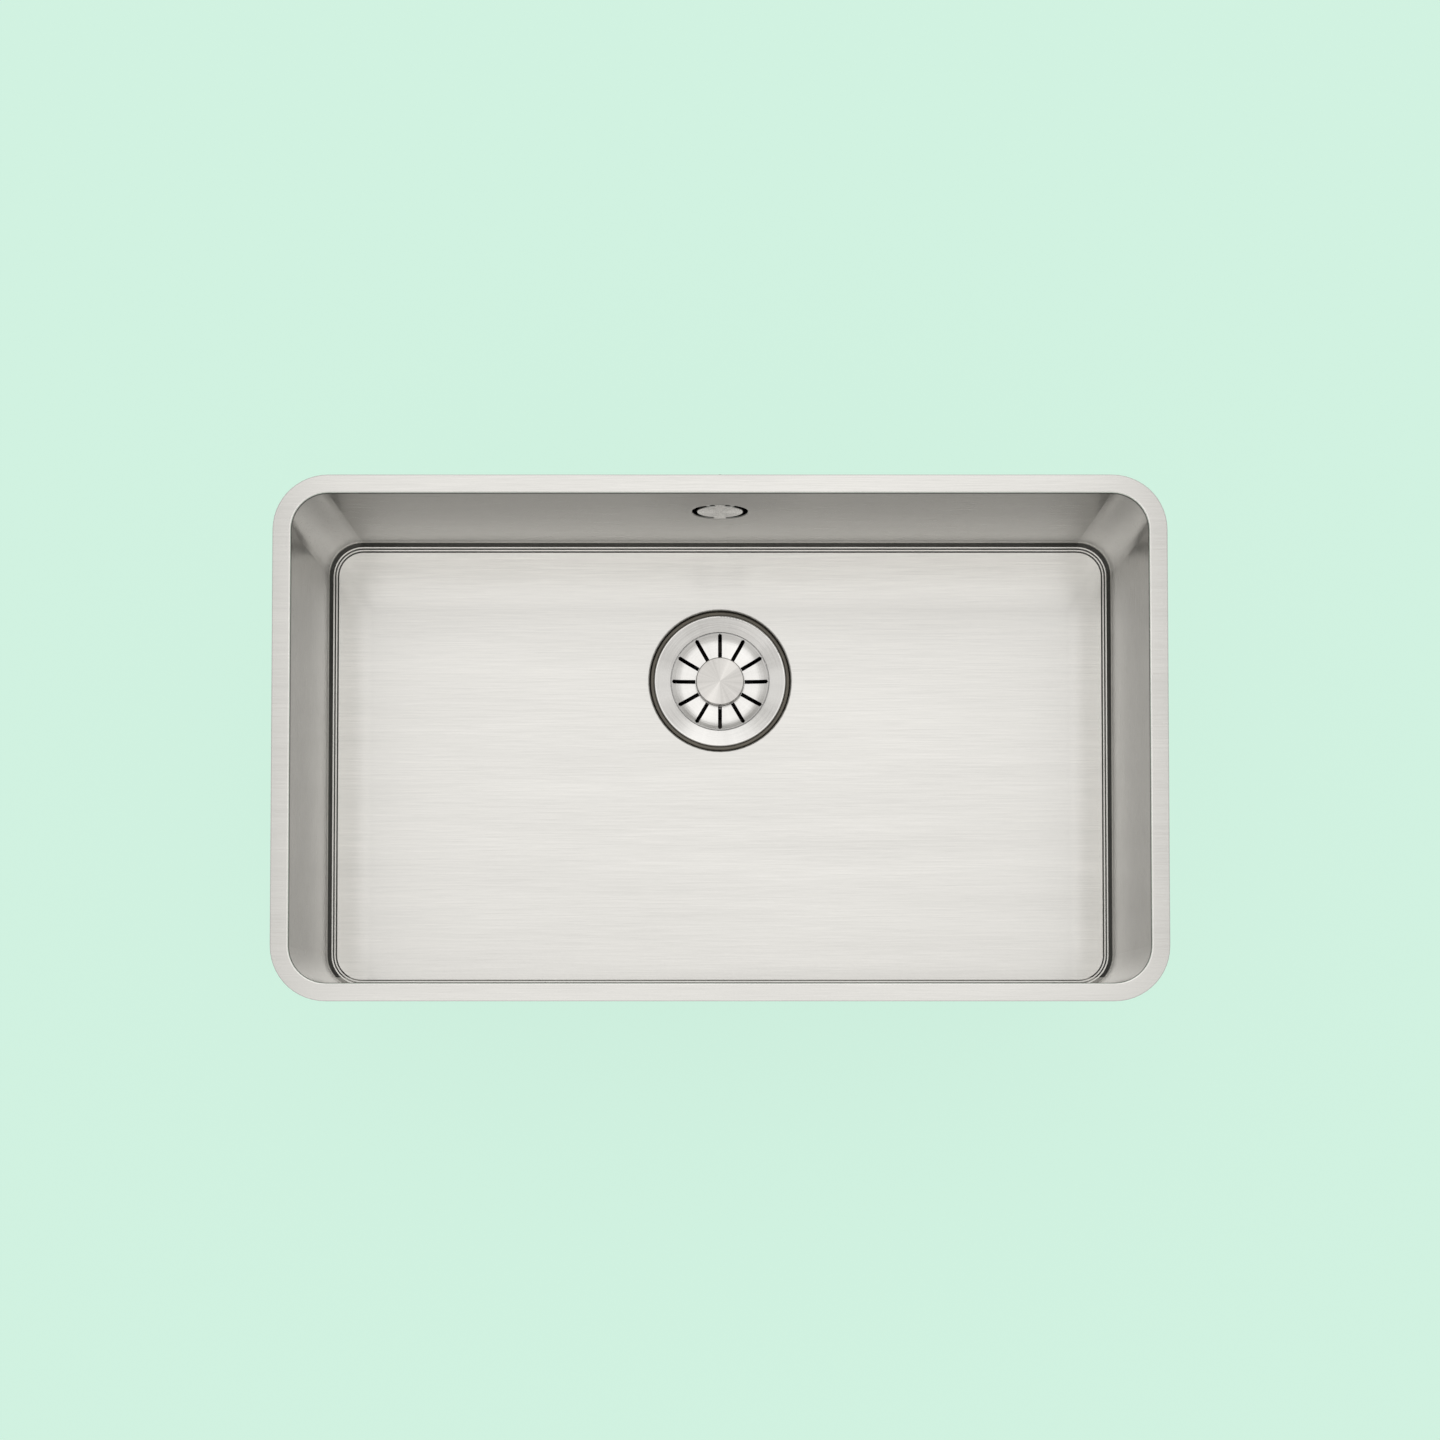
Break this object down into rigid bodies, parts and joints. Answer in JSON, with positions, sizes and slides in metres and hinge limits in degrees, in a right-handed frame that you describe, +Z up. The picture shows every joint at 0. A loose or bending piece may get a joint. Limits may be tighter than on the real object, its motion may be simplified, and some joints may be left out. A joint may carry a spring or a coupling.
{
  "type": "kitchen sink",
  "caption": "Rectangular undermount stainless kitchen sink bowl with a lift-out strainer and stopper, waste body and recessed overflow.",
  "frame": {"origin": "centre of the flange's top face, the plane that meets the worktop's underside", "axes": "+X to the right along the long side, +Y to the rear wall with the overflow, +Z up"},
  "size_m": [0.73, 0.4569, 0.27],
  "materials": {
    "bowl_steel": "brushed",
    "spun_steel": "spun satin",
    "plain_steel": "turned",
    "brass": "turned",
    "seal_rubber": "matt",
    "dark_plastic": "moulded",
    "pale_plastic": "moulded",
    "nut_plastic": "moulded",
    "sound_pad": "matt"
  },
  "bodies": {
    "sink": {"bowl": "bowl_steel", "floor_pad_front": "sound_pad", "floor_pad_left": "sound_pad", "floor_pad_right": "sound_pad", "front_wall_pad": "sound_pad", "rear_wall_pads": "sound_pad", "left_wall_pad": "sound_pad", "right_wall_pad": "sound_pad", "waste_flange": "spun_steel", "flange_seal": "seal_rubber", "waste_gasket": "seal_rubber", "waste_body": "pale_plastic", "screw_bridge": "pale_plastic", "screw_insert": "brass", "waste_screw": "plain_steel", "overflow_insert": "dark_plastic", "overflow_screw": "plain_steel", "overflow_gasket": "seal_rubber", "overflow_housing": "pale_plastic", "housing_insert": "brass", "overflow_pipe": "pale_plastic", "lower_union_nut": "nut_plastic", "lower_cone_seal": "seal_rubber", "upper_union_nut": "nut_plastic", "upper_cone_seal": "seal_rubber"},
    "strainer": {"strainer_dish": "spun_steel", "guide_bush": "plain_steel", "bush_nut": "plain_steel"},
    "plunger": {"knob": "spun_steel", "knob_stem": "plain_steel", "stem_catch": "plain_steel", "stopper_plate": "plain_steel", "stopper_seal": "seal_rubber"},
    "cover": {"overflow_cover": "spun_steel", "cover_clip": "dark_plastic"}
  },
  "joints": [
    {"name": "strainer_lift", "type": "slide", "parent": "sink", "child": "strainer", "axis": [0, 0, 1], "range_m": [0, 0.25]},
    {"name": "knob_lift", "type": "slide", "parent": "strainer", "child": "plunger", "axis": [0, 0, 1], "range_m": [0, 0.007]},
    {"name": "cover_pull", "type": "slide", "parent": "sink", "child": "cover", "axis": [0, -1, 0], "range_m": [0, 0.04]}
  ]
}
